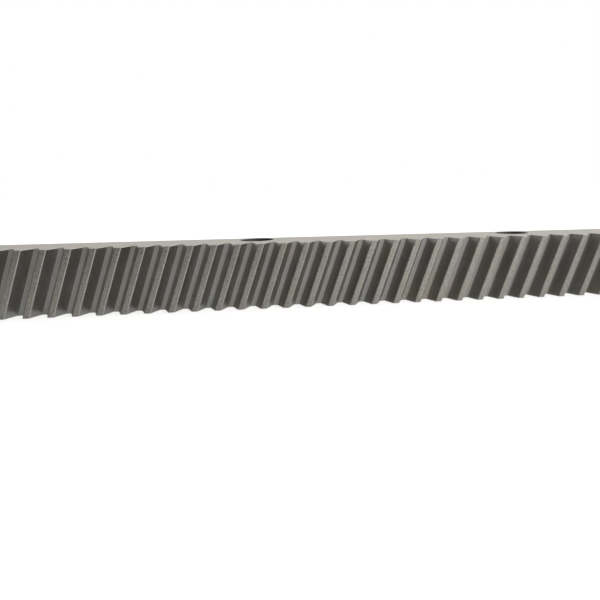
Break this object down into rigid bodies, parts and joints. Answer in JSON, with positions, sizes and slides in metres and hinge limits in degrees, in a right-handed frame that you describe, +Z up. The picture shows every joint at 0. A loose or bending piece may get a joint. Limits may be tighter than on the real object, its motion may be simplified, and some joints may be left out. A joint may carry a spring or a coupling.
{
  "type": "rack and pinion",
  "caption": "Straight helical gear rack bar with counterbored side holes, and a helical pinion on a shaft in a flanged bearing housing that runs along it.",
  "frame": {"origin": "middle of the rack bar's lower side face, which lies on the machine bed", "axes": "+X along the bar towards the pinion unit's home end, -Y out of the teeth, +Z up through the bar's fixing holes and along the pinion's shaft towards its drive end"},
  "size_m": [0.5, 0.1079, 0.138],
  "materials": {
    "rack_steel": "bare cut and ground steel, lightly oiled, grey",
    "pinion_steel": "bare cut and ground steel, lightly oiled, grey",
    "shaft_steel": "turned and ground bright steel",
    "key_steel": "bright drawn key steel",
    "bearing_steel": "polished bearing steel",
    "black_steel": "black oxide",
    "housing_metal": "turned aluminium, dull grey",
    "cover_metal": "turned aluminium, dull grey",
    "brass": "bare brass",
    "seal_rubber": "black nitrile rubber"
  },
  "bodies": {
    "rack": {"rack_bar": "rack_steel"},
    "carriage": {"bearing_housing": "housing_metal", "bottom_cover": "cover_metal", "top_cover": "cover_metal", "grease_nipple": "brass", "lower_shaft_seal": "seal_rubber", "upper_shaft_seal": "seal_rubber", "lower_outer_ring": "bearing_steel", "upper_outer_ring": "bearing_steel", "bottom_cover_screw_1": "black_steel", "bottom_cover_screw_2": "black_steel", "bottom_cover_screw_3": "black_steel", "bottom_cover_screw_4": "black_steel", "top_cover_screw_1": "black_steel", "top_cover_screw_2": "black_steel", "top_cover_screw_3": "black_steel", "top_cover_screw_4": "black_steel"},
    "pinion": {"pinion_gear": "pinion_steel", "pinion_shaft": "shaft_steel", "pinion_key": "key_steel", "drive_key": "key_steel", "spacer_sleeve": "shaft_steel", "shaft_retaining_ring": "black_steel", "end_washer": "black_steel", "end_screw": "black_steel", "lower_inner_ring": "bearing_steel", "upper_inner_ring": "bearing_steel"},
    "bearing_cages": {"lower_ball_cage": "bearing_steel", "upper_ball_cage": "bearing_steel"}
  },
  "joints": [
    {"name": "rack_travel", "type": "slide", "parent": "rack", "child": "carriage", "axis": [-1, 0, 0], "range_m": [0, 0.4]},
    {"name": "pinion_spin", "type": "hinge", "parent": "carriage", "child": "pinion", "pos_m": [0.2, -0.04338, 0.0145], "axis": [0, 0, -1], "range_deg": [-1, 721]},
    {"name": "cage_spin", "type": "hinge", "parent": "carriage", "child": "bearing_cages", "pos_m": [0.2, -0.04338, 0.0475], "axis": [0, 0, -1], "range_deg": [-1, 288]}
  ],
  "couplings": [
    {"joint": "pinion_spin", "follows": "rack_travel", "rad_per_m": 31.416},
    {"joint": "cage_spin", "follows": "rack_travel", "rad_per_m": 12.5}
  ]
}
